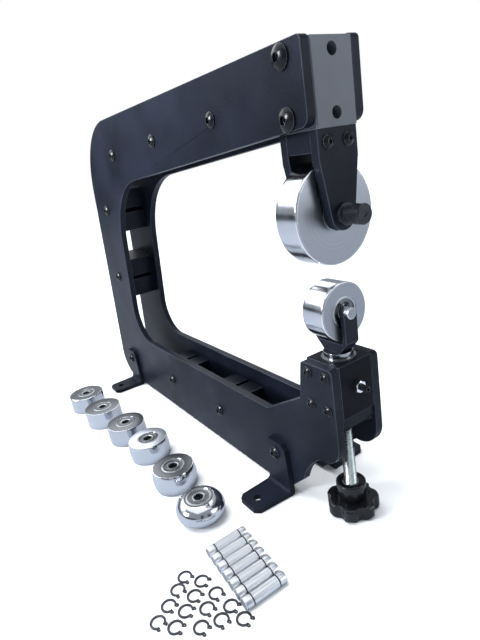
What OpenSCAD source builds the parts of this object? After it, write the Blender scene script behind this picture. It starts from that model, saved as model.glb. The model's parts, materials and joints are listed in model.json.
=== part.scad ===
// Benchtop english wheel: two C-shaped steel side plates, a large free-turning wheel in a fork
// at the end of the upper arm, and a small anvil wheel on a screw-adjusted post below it.
// The set's spare anvils, axle pins and retaining clips stand beside the frame.
// Origin: centre of the four bench-bolt holes, on the bench. +X is the front, +Z is up.

/* [Bench holes] */
// Distance between the front and the rear bench holes
foot_pitch = 392; // [370:1:420]
// From the front bench holes forward to the nose of the plates
nose_overhang = 94; // [90:1:105]

/* [Side plates] */
// Thickness of each side plate
plate_t = 8; // [6:0.5:10]
// Clear distance between the two side plates
plate_gap = 39; // [38:0.5:44]
// Height of the plates' top edge above the bench
frame_top = 405; // [402:1:420]
// Height of the plates' lower edge above the bench
frame_lift = 3; // [1:0.5:6]
// Depth of the upper arm at the nose
nose_depth = 57.5; // [56:0.5:64]
// Fall of the upper arm's lower edge towards the column, in degrees
arm_slope = 3.8; // [2:0.1:6]
// From the nose back to the column, at the top of the lower arm
throat_depth = 448; // [430:1:470]
// Lean of the column, in degrees
lean = 10; // [7:0.5:12]
// Width of the column, measured level
column_w = 88.5; // [80:0.5:100]
// Depth of the lower arm
lower_arm_h = 87; // [80:0.5:95]
// Corner radius at the top of the throat
throat_top_r = 100; // [60:1:110]
// Corner radius at the bottom of the throat
throat_low_r = 42; // [30:1:60]
// Outer corner radius at the top of the column
heel_top_r = 105; // [60:1:120]
// Outer corner radius at the bottom of the column
heel_low_r = 35; // [20:1:50]
// Radius of the nose's lower corner
nose_low_r = 8; // [3:0.5:12]
// Radius of the small outer corners
small_r = 4; // [2:0.5:6]

/* [Tower under the anvil] */
// From the nose back to the tower's front edge
tower_setback = 3; // [0:0.5:8]
// Gap between the upper wheel and the anvil with the post at its lowest
wheel_gap = 15; // [12:0.5:20]
// Width of the tower at its top edge
tower_w = 38.4; // [37:0.2:46]
// From the tower's top edge down to the top of the ramp from the lower arm
ramp_drop = 39; // [33:0.5:45]
// Level length of the ramp
ramp_run = 58; // [45:1:70]
// Height of the tower's toe above the bench
toe_z = 64; // [58:0.5:70]
// Radius of the toe's front corner
toe_r = 24; // [15:0.5:25]
// From the tower's front edge back to the cusp over the knob
toe_run = 27; // [26:0.5:30]
// From the tower's front edge back to the heel of the knob cut-out
cut_heel_run = 55.5; // [50:0.5:62]
// Height of the heel of the knob cut-out above the bench
cut_heel_z = 27.6; // [22:0.2:32]
// Radius of the knob cut-out
cut_r = 75; // [50:1:140]
// From the tower's front edge back to where the cut-out ends at the lower edge
cut_end_run = 83; // [78:0.5:90]
// From the tower's top edge down to its upper screws
tower_screw_drop = 8; // [7:0.5:9]
// Height from the lower to the upper screws in the tower
tower_screw_pitch = 31; // [30:0.5:32]
// Distance between the front and the rear screws in the tower
tower_screw_span = 21; // [20:0.5:21.5]

/* [Spacers] */
// Length of a spacer block along its arm
spacer_l = 60; // [50:1:70]
// Depth of a spacer block across its arm
spacer_d = 44; // [36:1:50]
// Width of the relief slot in a spacer
slot_w = 6; // [4:0.5:8]
// Depth of the relief slot in a spacer
slot_depth = 14; // [8:0.5:16]
// From the nose to the first spacer in the upper arm
arm_first = 125; // [115:1:135]
// Pitch of the spacers in the upper arm
arm_pitch = 128.3; // [110:0.1:130]
// Shift of the spacers in the arm and column towards the throat
spacer_shift = 3.5; // [0:0.5:6]
// Height of the upper spacer in the column
column_z_high = 288.5; // [280:0.5:295]
// Height of the lower spacer in the column
column_z_low = 185.8; // [175:0.5:200]
// From the nose to the front spacer in the lower arm
low_first = 211; // [200:1:220]
// Pitch of the spacers in the lower arm
low_pitch = 130.7; // [120:0.1:140]
// Shift of the spacers in the lower arm towards the throat
low_shift = 1; // [0:0.5:3]

/* [Nose block] */
// Depth of the nose block, front to back
nose_block_d = 44.5; // [42:0.5:50]
// How far the nose block stands proud of the plates
nose_proud = 0.5; // [0:0.1:2]
// Height of the nose block
nose_block_h = 58.5; // [57:0.5:64]
// From the top edge of the plates down to the nose block
nose_block_drop = 1.5; // [0:0.1:3]
// Chamfer on the blocks' front edges
block_chamfer = 1; // [0.5:0.1:2]
// Diameter of the two holes in the nose block's face
nose_hole_d = 9; // [6:0.2:10]
// Depth of the two holes in the nose block's face
nose_hole_depth = 12; // [6:0.5:12]
// Spacing of the cross bolts and of the holes in the face
nose_bolt_pitch = 40.6; // [38:0.1:42]
// From the top edge of the plates down to the upper cross bolt
nose_bolt_drop = 10; // [9:0.5:12]
// From the nose back to the cross bolts
nose_bolt_setback = 21; // [20:0.5:24]

/* [Fork and upper wheel] */
// From the nose back to the centre of both wheels
wheel_setback = 22; // [21.5:0.5:24]
// Diameter of the upper wheel
wheel_d = 80; // [70:1:84]
// Width of the rolling face of both wheels
wheel_w = 24; // [22:0.5:26]
// Edge chamfer of the upper wheel
wheel_chamfer = 0.6; // [0.2:0.1:2]
// From the nose block's underside down to the upper axle
fork_drop = 62; // [60:0.5:68]
// Gap between the upper wheel and each fork ear
fork_side_gap = 1; // [0.8:0.1:2]
// Thickness of a fork ear
ear_t = 8; // [6:0.5:10]
// Radius of a fork ear's rounded lower end
ear_tip_r = 12.5; // [11:0.5:15]
// Height of a fork ear's parallel sides
ear_shoulder = 21; // [18:0.5:26]
// Height of the crown block between the ears
crown_h = 15.5; // [14:0.5:16]
// Spacing of the two screws in each fork ear
ear_screw_pitch = 20.2; // [19:0.2:22]
// From the nose block's underside down to the ear screws
ear_screw_drop = 9.2; // [8:0.1:10]
// Spacing of the two crown screws
crown_screw_pitch = 13; // [12:0.5:14]

/* [Bearings and axle] */
// Outside diameter of a bearing
bearing_od = 26; // [24:0.5:28]
// Width of a bearing
bearing_w = 8; // [7:0.5:9]
// Diameter of the axle and of every anvil pin
pin_d = 10; // [8:0.5:11]
// Diameter of the axle's collar
collar_d = 17; // [15:0.5:19]
// Length of the axle's collar
collar_l = 4; // [2:0.5:6]
// Diameter of the axle's waist
waist_d = 12.5; // [10:0.5:14]
// Length of the axle's waist
waist_l = 8; // [5:0.5:10]
// Diameter of the axle's head
axle_head_d = 15.5; // [14:0.5:18]
// Length of the axle's head
axle_head_l = 9; // [6:0.5:12]

/* [Anvils and pins] */
// Diameter of each anvil wheel
anvil_d = 50; // [46:1:54]
// Length of an anvil pin
pin_l = 41; // [39:0.5:46]
// Thickness of a retaining clip
clip_t = 1; // [0.8:0.1:1.2]
// Radial width of a retaining clip
clip_b = 1.8; // [1.5:0.1:2.2]
// End play between an anvil and each retaining clip
clip_play = 0.5; // [0.2:0.1:1]
// Depth of a pin's clip groove
groove_depth = 0.3; // [0.2:0.05:0.6]

/* [Adjuster] */
// Height of the anvil's axis above the guide block
anvil_rise = 42; // [40:0.5:44]
// Diameter of the post
post_d = 26; // [22:0.5:28]
// From the anvil's axis down to the post's top
post_drop = 36; // [35:0.5:38]
// From the nut plate up to the post's lower end
post_rest = 1.5; // [1:0.5:3]
// Depth of the flat that the clamp screw bears on
post_flat = 1; // [0.5:0.1:2]
// Height of the guide block
guide_h = 49.5; // [46:0.5:52]
// Depth of the guide block, front to back
guide_d = 39; // [36:0.5:42]
// How far the guide block stands above the tower
guide_proud = 0.5; // [0:0.1:2]
// Outside diameter of the post's bush
bush_d = 30; // [28:0.5:32]
// Length of the post's bush
bush_l = 4; // [3:0.5:4.5]
// How far the bush stands above the guide block
bush_proud = 1; // [0.5:0.1:2]
// Thickness of the nut plate under the guide block
nut_plate_t = 11.5; // [10:0.5:14]
// How far the nut plate lies back from the guide block
nut_plate_recess = 2; // [1:0.5:3]
// Spacing of the nut plate's screws, both ways
nut_screw_pitch = 28; // [27:0.5:30]
// Width of the yoke across the post
yoke_w = 14.5; // [13:0.5:18]
// Thickness of a yoke ear
yoke_ear_t = 4.5; // [4:0.5:6]
// Gap between a retaining clip and the yoke ear
yoke_clip_gap = 0.4; // [0.2:0.1:1]
// Gap under the anvil
yoke_floor_gap = 2; // [1:0.5:3]
// Height of the yoke ears' cut corners
yoke_cut_h = 10; // [6:0.5:12]
// Level run of the yoke ears' cut corners
yoke_cut_run = 9; // [4:0.5:10]

/* [Screw and knob] */
// Diameter of the threaded rod
rod_d = 12; // [10:0.5:14]
// Diameter of the rod's spigot in the post
spigot_d = 10; // [8:0.5:10]
// Length of the rod's spigot in the post
spigot_l = 12; // [8:0.5:14]
// From the knob's underside up to the rod's lower end
rod_seat = 7; // [5:0.5:9]
// Height of the knob's underside above the bench
knob_lift = 1; // [0.5:0.5:3]
// Overall diameter of the knob
knob_d = 50; // [46:1:54]
// Number of lobes on the knob
knob_lobes = 7; // [5:1:8]
// Radius of a knob lobe
lobe_r = 6.5; // [6:0.1:7]
// Radius at the bottom of the knob's valleys
valley_r = 20.3; // [19.5:0.1:20.8]
// Thickness of the knob's lobed disc
knob_disc_h = 14; // [12:0.5:16]
// Rounding of the lobed disc's edges
knob_edge_r = 4; // [2:0.5:5]
// Diameter of the knob's hub
hub_d = 28; // [25:0.5:29]
// Height of the knob's hub above the disc
hub_h = 17; // [14:0.5:20]
// Radius of the dish round the hub
dish_r = 16.8; // [16:0.1:18]
// Depth of the dish round the hub
dish_depth = 2; // [1:0.5:4]
// Diameter of the metal insert in the hub
insert_d = 15; // [14:0.5:17]
// Length of the metal insert in the hub
insert_l = 12; // [8:0.5:14]

/* [Clamp screw] */
// Height of the clamp screw above the guide block's underside
clamp_rise = 26.5; // [24:0.5:30]
// Diameter of the clamp screw
clamp_d = 6; // [5:0.5:8]
// Width across the flats of the clamp screw's nut
clamp_nut_af = 10; // [9:0.5:13]
// Thickness of the clamp screw's nut
clamp_nut_t = 5; // [4:0.5:6]
// How far the clamp screw stands out of its nut
clamp_out = 7.5; // [4:0.5:10]

/* [Feet] */
// Thickness of a foot bracket
foot_t = 5.5; // [4:0.5:7]
// Width of a foot bracket at its bend
foot_w = 36; // [34:0.5:42]
// Height of a foot bracket
foot_h = 58; // [54:0.5:64]
// Reach of a foot bracket from the side plate
foot_reach = 48; // [44:0.5:56]
// From the side plate out to the bench hole
foot_hole_reach = 35; // [32:0.5:38]
// Diameter of a bench hole
foot_hole_d = 9; // [8:0.5:11]
// Height of the foot screws above the bench
foot_screw_z = 45; // [42:0.5:47]
// Narrowing of a foot bracket at each side towards its ends
foot_taper = 2; // [0:0.5:3]
// Cut corners of a foot bracket
foot_cut = 5; // [3:0.5:7]
// Inside bend radius of a foot bracket
foot_bend_r = 4; // [2:0.5:6]

/* [Fasteners] */
// Thread size of the frame's button-head screws
screw_d = 8; // [6:0.5:9]
// Thread size of the button-head screws in the tower and in the fork's ears
block_screw_d = 6; // [5:0.5:8]
// Depth of the frame screws in the blocks and spacers
screw_grip = 12; // [8:0.5:12]
// Thread size of the nose block's cross bolts
nose_bolt_d = 10; // [8:0.5:11]
// Depth of the cross bolts in the nose block
nose_bolt_grip = 15; // [12:0.5:15]
// Thread size of the crown screws and the yoke screw
small_screw_d = 6; // [5:0.5:6]
// Thread size of the nut plate's screws
nut_screw_d = 5; // [4:0.5:5]
// Clearance round a shank in a drilled hole
hole_clear = 0.2; // [0.1:0.05:0.4]
// Radial clearance of a thread, spigot or seat
fit_clear = 0.05; // [0.02:0.01:0.1]

/* [Hidden] */
$fn = 64;

// Colours
black_paint = [0.09, 0.10, 0.12];
satin_black = [0.16, 0.18, 0.20];
black_oxide = [0.05, 0.05, 0.06];
bright_steel = [0.72, 0.74, 0.77];
satin_steel = [0.58, 0.60, 0.63];
zinc = [0.66, 0.70, 0.70];
black_plastic = [0.04, 0.04, 0.045];

// Small fixed details
// How far a cut runs past the surface that it opens
over = 1;
// How far solids that are joined run into each other
slip = 0.01;
// How far an arc crosses the edges that it rounds
hair = 0.003;
// Gap between a screw's tip and the end of its hole
tip_gap = 0.3;
// Wall between a screw's hole and the post's bore
bore_wall = 0.8;
bearing_lip = 0.5;
ring_share = 0.24;
seat_shoulder = 2;
clip_gap_half = 28;
clip_mouth_half = 19;
clip_lug_r = 1.7;
clip_lug_out = 0.4;
clip_hole_d = 1.3;
crown_inset = 0.5;
ear_clip_gap = 0.2;
shim_rim = 2;
shim_gap = 0.15;
flat_reach = 8;

// Places that follow from the sizes
front_x = foot_pitch / 2 + nose_overhang;
plate_in = plate_gap / 2;
plate_out = plate_in + plate_t;
foot_out = plate_out + foot_t;
nose_low_z = frame_top - nose_depth;
low_arm_z = frame_lift + lower_arm_h;
throat_low_x = front_x - throat_depth;
tower_x = front_x - tower_setback;
axis_x = front_x - wheel_setback;
nose_block_top = frame_top - nose_block_drop;
nose_block_z = nose_block_top - nose_block_h;
upper_axis_z = nose_block_z - fork_drop;
anvil_axis_z = upper_axis_z - wheel_d / 2 - wheel_gap - anvil_d / 2;
guide_top = anvil_axis_z - anvil_rise;
tower_top = guide_top - guide_proud;
ramp_top = tower_top - ramp_drop;
guide_z = guide_top - guide_h;
nut_plate_z = guide_z - nut_plate_t;
post_top = anvil_axis_z - post_drop;
shoulder_gap = 0.1;
post_low = guide_z + post_rest;
knob_z = knob_lift;
knob_top = knob_z + knob_disc_h + hub_h;
rod_low = knob_z + rod_seat;
rod_shoulder = post_low - shoulder_gap;
bearing_bore = pin_d + 2 * fit_clear;
ear_in = wheel_w / 2 + fork_side_gap;
ear_out = ear_in + ear_t;
clip_in = wheel_w / 2 + clip_play;
yoke_in = clip_in + clip_t + yoke_clip_gap;
yoke_out = yoke_in + yoke_ear_t;
clamp_z = guide_z + clamp_rise;
guide_front = tower_x;
post_bore_r = post_d / 2 + fit_clear;
tower_screw_in = tower_screw_span / 2 - block_screw_d / 2;
tower_grip = min(screw_grip,
    plate_in - sqrt(post_bore_r * post_bore_r - tower_screw_in * tower_screw_in) - bore_wall);

// Geometry helpers in the plane
function unit(v) = v / norm(v);
function along(p, q, d) = p + d * unit(q - p);
function corner_angle(a, b, c) = acos(unit(a - b) * unit(c - b));
function throat_x(z) = throat_low_x + (z - low_arm_z) * tan(lean);
function arm_low_z(x) = nose_low_z - (front_x - x) * tan(arm_slope);
throat_top_z = (nose_low_z - tan(arm_slope) * (throat_depth + low_arm_z * tan(lean)))
    / (1 - tan(arm_slope) * tan(lean));

// The piece between a sharp corner at b and the arc of radius r that rounds it.
// It runs a little past the corner's own edges, and its arc crosses them by a hair.
module corner_piece(a, b, c, r) {
    half = corner_angle(a, b, c) / 2;
    reach = r / tan(half);
    centre = b + unit(unit(a - b) + unit(c - b)) * r / sin(half);
    grow = (r + over) / r;
    difference() {
        polygon([for (p = [b, along(b, a, reach), centre, along(b, c, reach)])
            centre + grow * (p - centre)]);
        translate(centre) circle(r + hair);
    }
}

// A flat outline drawn in X and Z, standing between two Y values
module wall_xz(y0, y1) {
    translate([0, y1, 0]) rotate([90, 0, 0]) linear_extrude(y1 - y0) children();
}

// A flat outline drawn in Y and Z, standing between two X values
module wall_yz(x0, x1) {
    translate([x0, 0, 0]) rotate([90, 0, 90]) linear_extrude(x1 - x0) children();
}

// Round bars along X, Y and Z
module bar_x(d, x0, x1, y, z) {
    translate([x0, y, z]) rotate([0, 90, 0]) cylinder(d = d, h = x1 - x0);
}
module bar_y(d, y0, y1, x, z) {
    translate([x, y0, z]) rotate([-90, 0, 0]) cylinder(d = d, h = y1 - y0);
}
module bar_z(d, z0, z1, x, y) {
    translate([x, y, z0]) cylinder(d = d, h = z1 - z0);
}

// A copy on each side of the middle plane
module both_sides() {
    children();
    mirror([0, 1, 0]) children();
}

// Side plates
function plate_corners() = [
    [front_x, frame_top],
    [front_x, nose_low_z],
    [throat_x(throat_top_z), throat_top_z],
    [throat_low_x, low_arm_z],
    [tower_rear(ramp_top) - ramp_run, low_arm_z],
    [tower_rear(ramp_top), ramp_top],
    [tower_x - tower_w, tower_top],
    [tower_x, tower_top],
    [tower_x, toe_z],
    [cut_start()[0] + cut_spare, toe_z],
    along(cut_heel(), cut_end(), -2 * cut_spare),
    cut_end(),
    [throat_x(frame_lift) - column_w, frame_lift],
    [throat_x(frame_top) - column_w, frame_top]
];
function tower_rear(z) = tower_x - tower_w - (tower_top - z) * tan(lean);
function cut_start() = [tower_x - toe_run, toe_z];
function cut_heel() = [tower_x - cut_heel_run, cut_heel_z];
function cut_end() = [tower_x - cut_end_run, frame_lift];
// How far the sharp outline runs into the knob cut-out
cut_spare = 1.5;

// Corner radii in the order of the corners: the first list is cut away, the second filled in
outer_corners = [[0, small_r], [1, nose_low_r], [6, small_r], [7, small_r], [8, toe_r],
    [12, heel_low_r], [13, heel_top_r]];
inner_corners = [[2, throat_top_r], [3, throat_low_r], [4, small_r], [5, small_r]];

module plate_corner(p, entry) {
    n = len(p);
    i = entry[0];
    corner_piece(p[(i + n - 1) % n], p[i], p[(i + 1) % n], entry[1]);
}

// The round cut-out over the knob, below the toe
module knob_cut_out() {
    a = cut_start();
    b = cut_heel();
    chord = norm(b - a);
    side = [-(b - a)[1], (b - a)[0]] / chord;
    depth = sqrt(cut_r * cut_r - chord * chord / 4);
    intersection() {
        translate((a + b) / 2 + side * depth) circle(cut_r);
        polygon([[b[0] - cut_r, toe_z], [b[0] - cut_r, -cut_r], [tower_x + cut_r, -cut_r],
            [tower_x + cut_r, toe_z]]);
    }
}

module plate_outline() {
    p = plate_corners();
    difference() {
        union() {
            polygon(p);
            for (entry = inner_corners) plate_corner(p, entry);
        }
        for (entry = outer_corners) plate_corner(p, entry);
        knob_cut_out();
    }
}

function arm_screws() = [for (i = [0:2]) let (x = front_x - arm_first - i * arm_pitch)
    [x, (frame_top + arm_low_z(x)) / 2 - spacer_shift]];
function column_screws() = [for (z = [column_z_high, column_z_low])
    [throat_x(z) - column_w / 2 + spacer_shift, z]];
function low_screws() = [for (i = [0:1])
    [front_x - low_first - i * low_pitch, frame_lift + lower_arm_h / 2 + low_shift]];
function tower_screws() = [for (i = [0:1], side = [-1, 1])
    [axis_x + side * tower_screw_span / 2, tower_top - tower_screw_drop - i * tower_screw_pitch]];
function nose_bolts() = [for (i = [0:1])
    [front_x - nose_bolt_setback, frame_top - nose_bolt_drop - i * nose_bolt_pitch]];
function foot_screw_places() = [for (x = [foot_pitch / 2, -foot_pitch / 2]) [x, foot_screw_z]];

module side_plate() {
    color(black_paint) difference() {
        wall_xz(-plate_out, -plate_in) plate_outline();
        for (p = concat(arm_screws(), column_screws(), low_screws()))
            bar_y(screw_d + 2 * hole_clear, -plate_out - over, -plate_in + over, p[0], p[1]);
        for (p = tower_screws())
            bar_y(block_screw_d + 2 * hole_clear, -plate_out - over, -plate_in + over, p[0], p[1]);
        for (p = nose_bolts())
            bar_y(nose_bolt_d + 2 * hole_clear, -plate_out - over, -plate_in + over, p[0], p[1]);
        for (p = foot_screw_places())
            bar_y(screw_d + 2 * fit_clear, -plate_out - over, -plate_in + over, p[0], p[1]);
    }
}
module near_side_plate() { side_plate(); }
module far_side_plate() { mirror([0, 1, 0]) side_plate(); }

// Spacer blocks between the plates, each on one pair of screws
module spacer(place, angle) {
    color(black_paint) translate([place[0], 0, place[1]]) rotate([0, -angle, 0]) difference() {
        cube([spacer_l, plate_gap, spacer_d], center = true);
        bar_y(screw_d + 2 * fit_clear, -plate_gap, plate_gap, 0, 0);
        translate([-slot_w / 2, -plate_gap, -spacer_d / 2 - over])
            cube([slot_w, 2 * plate_gap, slot_depth + over]);
    }
}
module upper_arm_spacers() { for (p = arm_screws()) spacer(p, arm_slope); }
module column_spacers() { for (p = column_screws()) spacer(p, 90 - lean); }
module lower_arm_spacers() { for (p = low_screws()) spacer(p, 180); }

// Fasteners: the head's seat is at the origin, the head points along +Z.
// Head sizes are shares of the thread size.
button_h_share = 0.55;
button_r_share = 0.875;
button_crown_share = 0.7;
button_key_share = 0.625;
button_key_depth_share = 0.35;
cap_d_share = 1.6;
cap_key_share = 0.8;
cap_key_depth_share = 0.5;
flat_h_share = 0.5;
flat_d_share = 2;
flat_key_share = 0.6;
flat_key_depth_share = 0.4;
module hex_socket(key, top, depth) {
    translate([0, 0, top - depth]) cylinder(d = key / cos(30), h = depth + over, $fn = 6);
}
module shank(d, length) { translate([0, 0, -length]) cylinder(d = d, h = length + slip); }
module button_screw(d, length) {
    head_h = button_h_share * d;
    head_r = button_r_share * d;
    crown = button_crown_share * head_h;
    dome_r = (crown * crown + head_r * head_r) / (2 * crown);
    difference() {
        union() {
            intersection() {
                translate([0, 0, head_h - dome_r]) sphere(dome_r);
                cylinder(r = head_r, h = head_h + over);
            }
            shank(d, length);
        }
        hex_socket(button_key_share * d, head_h, button_key_depth_share * d);
    }
}
module cap_screw(d, length) {
    difference() {
        union() {
            cylinder(d = cap_d_share * d, h = d);
            shank(d, length);
        }
        hex_socket(cap_key_share * d, d, cap_key_depth_share * d);
    }
}
module flat_screw(d, length) {
    head_h = flat_h_share * d;
    difference() {
        union() {
            translate([0, 0, -head_h]) cylinder(d1 = d, d2 = flat_d_share * d, h = head_h);
            translate([0, 0, -length]) cylinder(d = d, h = length);
        }
        hex_socket(flat_key_share * d, 0, flat_key_depth_share * d);
    }
}
// The seat that a flat-head screw sinks into, its wide end at the origin and open along +Z
module flat_seat(d) {
    head_h = flat_h_share * d;
    translate([0, 0, -head_h])
        cylinder(d1 = d + 2 * hole_clear, d2 = flat_d_share * d + 2 * hole_clear, h = head_h + slip);
}
module near_screw(p, y, d, length) {
    color(black_oxide) translate([p[0], -y, p[1]]) rotate([90, 0, 0]) button_screw(d, length);
}
module near_row(places) {
    for (p = places) near_screw(p, plate_out, screw_d, plate_t + screw_grip);
}
module tower_row() {
    for (p = tower_screws()) near_screw(p, plate_out, block_screw_d, plate_t + tower_grip);
}
module near_plate_screws() { near_row(concat(arm_screws(), column_screws(), low_screws())); }
module far_plate_screws() { mirror([0, 1, 0]) near_plate_screws(); }
module near_tower_screws() { tower_row(); }
module far_tower_screws() { mirror([0, 1, 0]) tower_row(); }
module nose_cross_bolts() {
    both_sides() for (p = nose_bolts())
        near_screw(p, plate_out, nose_bolt_d, plate_t + nose_bolt_grip);
}
module foot_screws() {
    both_sides() for (p = foot_screw_places())
        near_screw(p, foot_out, screw_d, foot_t + plate_t - tip_gap);
}

// A block's plan outline with its two front corners cut
module block_plan(x0, x1, half_w) {
    c = block_chamfer;
    polygon([[x0, -half_w], [x1 - c, -half_w], [x1, -half_w + c], [x1, half_w - c],
        [x1 - c, half_w], [x0, half_w]]);
}

// Nose block
module nose_block() {
    face = front_x + nose_proud;
    color(satin_black) difference() {
        translate([0, 0, nose_block_z]) linear_extrude(nose_block_h)
            block_plan(face - nose_block_d, face, plate_in);
        for (p = nose_bolts()) {
            bar_x(nose_hole_d, face - nose_hole_depth, face + over, 0, p[1]);
            both_sides() bar_y(nose_bolt_d + 2 * fit_clear, -plate_in - over,
                -plate_in + nose_bolt_grip + tip_gap, p[0], p[1]);
        }
        for (x = crown_screw_x())
            bar_z(small_screw_d + 2 * fit_clear, nose_block_z - over,
                nose_block_z + crown_grip + tip_gap, x, 0);
    }
}
crown_grip = 10;
function crown_screw_x() = [axis_x - crown_screw_pitch / 2, axis_x + crown_screw_pitch / 2];

// Fork: crown block, two ears and their screws
crown_z = nose_block_z - crown_h;
ear_screw_z = nose_block_z - ear_screw_drop;
module fork_crown() {
    half_w = plate_in - crown_inset;
    hole_d = block_screw_d + 2 * fit_clear;
    depth = ear_grip + tip_gap;
    color(black_paint) difference() {
        translate([axis_x - ear_in, -half_w, crown_z]) cube([2 * ear_in, 2 * half_w, crown_h]);
        for (x = crown_screw_x()) {
            bar_z(small_screw_d + 2 * hole_clear, crown_z - over, nose_block_z + over, x, 0);
            bar_z(cap_d_share * small_screw_d + 2 * hole_clear, crown_z - over,
                crown_z + small_screw_d, x, 0);
        }
        for (y = [-ear_screw_pitch / 2, ear_screw_pitch / 2]) {
            bar_x(hole_d, axis_x - ear_in - over, axis_x - ear_in + depth, y, ear_screw_z);
            bar_x(hole_d, axis_x + ear_in - depth, axis_x + ear_in + over, y, ear_screw_z);
        }
    }
}
ear_grip = 8;
module crown_screws() {
    color(black_oxide) for (x = crown_screw_x())
        translate([x, 0, crown_z + small_screw_d]) rotate([180, 0, 0])
            cap_screw(small_screw_d, crown_h - small_screw_d + crown_grip);
}

// Depth of a pointed end of half width w whose rounding of radius r is centred d below its shoulder
function point_depth(w, d, r) =
    (d * w * w + w * r * sqrt(w * w + d * d - r * r)) / (w * w - r * r);

module ear_outline() {
    half_w = plate_in;
    shoulder_z = nose_block_z - ear_shoulder;
    point = [0, shoulder_z - point_depth(half_w, fork_drop - ear_shoulder, ear_tip_r)];
    difference() {
        polygon([[-half_w, nose_block_z], [half_w, nose_block_z], [half_w, shoulder_z],
            point, [-half_w, shoulder_z]]);
        corner_piece([half_w, shoulder_z], point, [-half_w, shoulder_z], ear_tip_r);
        translate([0, upper_axis_z]) circle(d = pin_d + 2 * fit_clear);
        for (y = [-ear_screw_pitch / 2, ear_screw_pitch / 2])
            translate([y, ear_screw_z]) circle(d = block_screw_d + 2 * hole_clear);
    }
}
module front_fork_ear() {
    color(black_paint) wall_yz(axis_x + ear_in, axis_x + ear_out) ear_outline();
}
module rear_fork_ear() {
    color(black_paint) wall_yz(axis_x - ear_out, axis_x - ear_in) ear_outline();
}
module fork_ear_screws() {
    color(black_oxide) for (y = [-ear_screw_pitch / 2, ear_screw_pitch / 2], side = [-1, 1])
        translate([axis_x + side * ear_out, y, ear_screw_z]) rotate([0, side * 90, 0])
            button_screw(block_screw_d, ear_t + ear_grip);
}

// Retaining clip for a shaft, flat on the plane z = 0, its opening towards +X
module clip() {
    inner_r = pin_d / 2 - groove_depth + fit_clear;
    outer_r = inner_r + clip_b;
    lug_x = (outer_r + clip_lug_out) * cos(clip_gap_half);
    lug_y = (outer_r + clip_lug_out) * sin(clip_gap_half);
    mouth = 3 * outer_r;
    linear_extrude(clip_t) difference() {
        union() {
            circle(outer_r);
            for (s = [-1, 1]) translate([lug_x, s * lug_y]) circle(clip_lug_r);
        }
        circle(inner_r);
        polygon([[0, 0], mouth * [cos(clip_mouth_half), sin(clip_mouth_half)],
            mouth * [cos(clip_mouth_half), -sin(clip_mouth_half)]]);
        for (s = [-1, 1]) translate([lug_x, s * lug_y]) circle(d = clip_hole_d);
    }
}
// A clip on a shaft along X, with its opening upwards
module clip_on_x(x, z) {
    color(satin_steel) translate([x, 0, z]) rotate([0, -90, 0]) clip();
}

// Upper axle: shaft, collar, waist and head, turned in one piece
axle_tail = 3.5;
axle_rear = axis_x - ear_out - axle_tail;
axle_clip_x = axis_x - ear_out - ear_clip_gap;
module groove_ring(x_high) {
    difference() {
        bar_x(pin_d + 2 * over, x_high - clip_t - slip, x_high + slip, 0, 0);
        bar_x(pin_d - 2 * groove_depth, x_high - clip_t - over, x_high + over, 0, 0);
    }
}
module upper_axle() {
    collar_x = axis_x + ear_out;
    color(black_oxide) translate([0, 0, upper_axis_z]) difference() {
        union() {
            bar_x(pin_d, axle_rear, collar_x + over, 0, 0);
            bar_x(collar_d, collar_x, collar_x + collar_l, 0, 0);
            bar_x(waist_d, collar_x, collar_x + collar_l + waist_l + over, 0, 0);
            bar_x(axle_head_d, collar_x + collar_l + waist_l,
                collar_x + collar_l + waist_l + axle_head_l, 0, 0);
        }
        groove_ring(axle_clip_x);
    }
}
module upper_axle_clip() { clip_on_x(axle_clip_x, upper_axis_z); }
module upper_axle_shims() {
    t = fork_side_gap - 2 * shim_gap;
    color(bright_steel) for (s = [-1, 1])
        translate([axis_x + s * (wheel_w / 2 + fork_side_gap / 2) - t / 2, 0, upper_axis_z])
            rotate([0, 90, 0]) difference() {
                cylinder(d = pin_d + 2 * shim_rim, h = t);
                translate([0, 0, -over]) cylinder(d = bearing_bore, h = t + 2 * over);
            }
}

// A wheel about Z, centred on the origin, with a bearing seat in each face.
// A crown radius of 0 gives a flat rolling face with a small chamfer.
module wheel_body(d, crown_r) {
    r = d / 2;
    h = wheel_w / 2;
    difference() {
        if (crown_r == 0) {
            rotate_extrude() polygon([[0, -h], [r - wheel_chamfer, -h], [r, -h + wheel_chamfer],
                [r, h - wheel_chamfer], [r - wheel_chamfer, h], [0, h]]);
        } else {
            rotate_extrude() intersection() {
                translate([0, -h]) square([r, wheel_w]);
                union() {
                    translate([r - crown_r, 0]) circle(crown_r, $fn = 720);
                    translate([0, -h]) square([max(r - crown_r, over), wheel_w]);
                }
            }
        }
        for (z = [-h - over, h - bearing_w])
            translate([0, 0, z]) cylinder(d = bearing_od + 2 * fit_clear, h = bearing_w + over);
        cylinder(d = bearing_od - 2 * seat_shoulder, h = wheel_w, center = true);
    }
}

// A shielded ball bearing about Z, centred on the origin
module bearing() {
    h = bearing_w / 2;
    r0 = bearing_bore / 2;
    r1 = bearing_od / 2;
    rim = (r1 - r0) * ring_share;
    color(bright_steel) rotate_extrude() polygon([
        [r0, -h], [r0 + rim, -h], [r0 + rim, -h + bearing_lip], [r1 - rim, -h + bearing_lip],
        [r1 - rim, -h], [r1, -h], [r1, h], [r1 - rim, h], [r1 - rim, h - bearing_lip],
        [r0 + rim, h - bearing_lip], [r0 + rim, h], [r0, h]]);
}
module bearing_pair() {
    for (s = [-1, 1]) translate([0, 0, s * (wheel_w - bearing_w) / 2]) bearing();
}

// Upper wheel
module on_upper_axis() { translate([axis_x, 0, upper_axis_z]) rotate([0, 90, 0]) children(); }
module upper_wheel() { color(bright_steel) on_upper_axis() wheel_body(wheel_d, 0); }
module upper_wheel_bearings() { on_upper_axis() bearing_pair(); }

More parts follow.
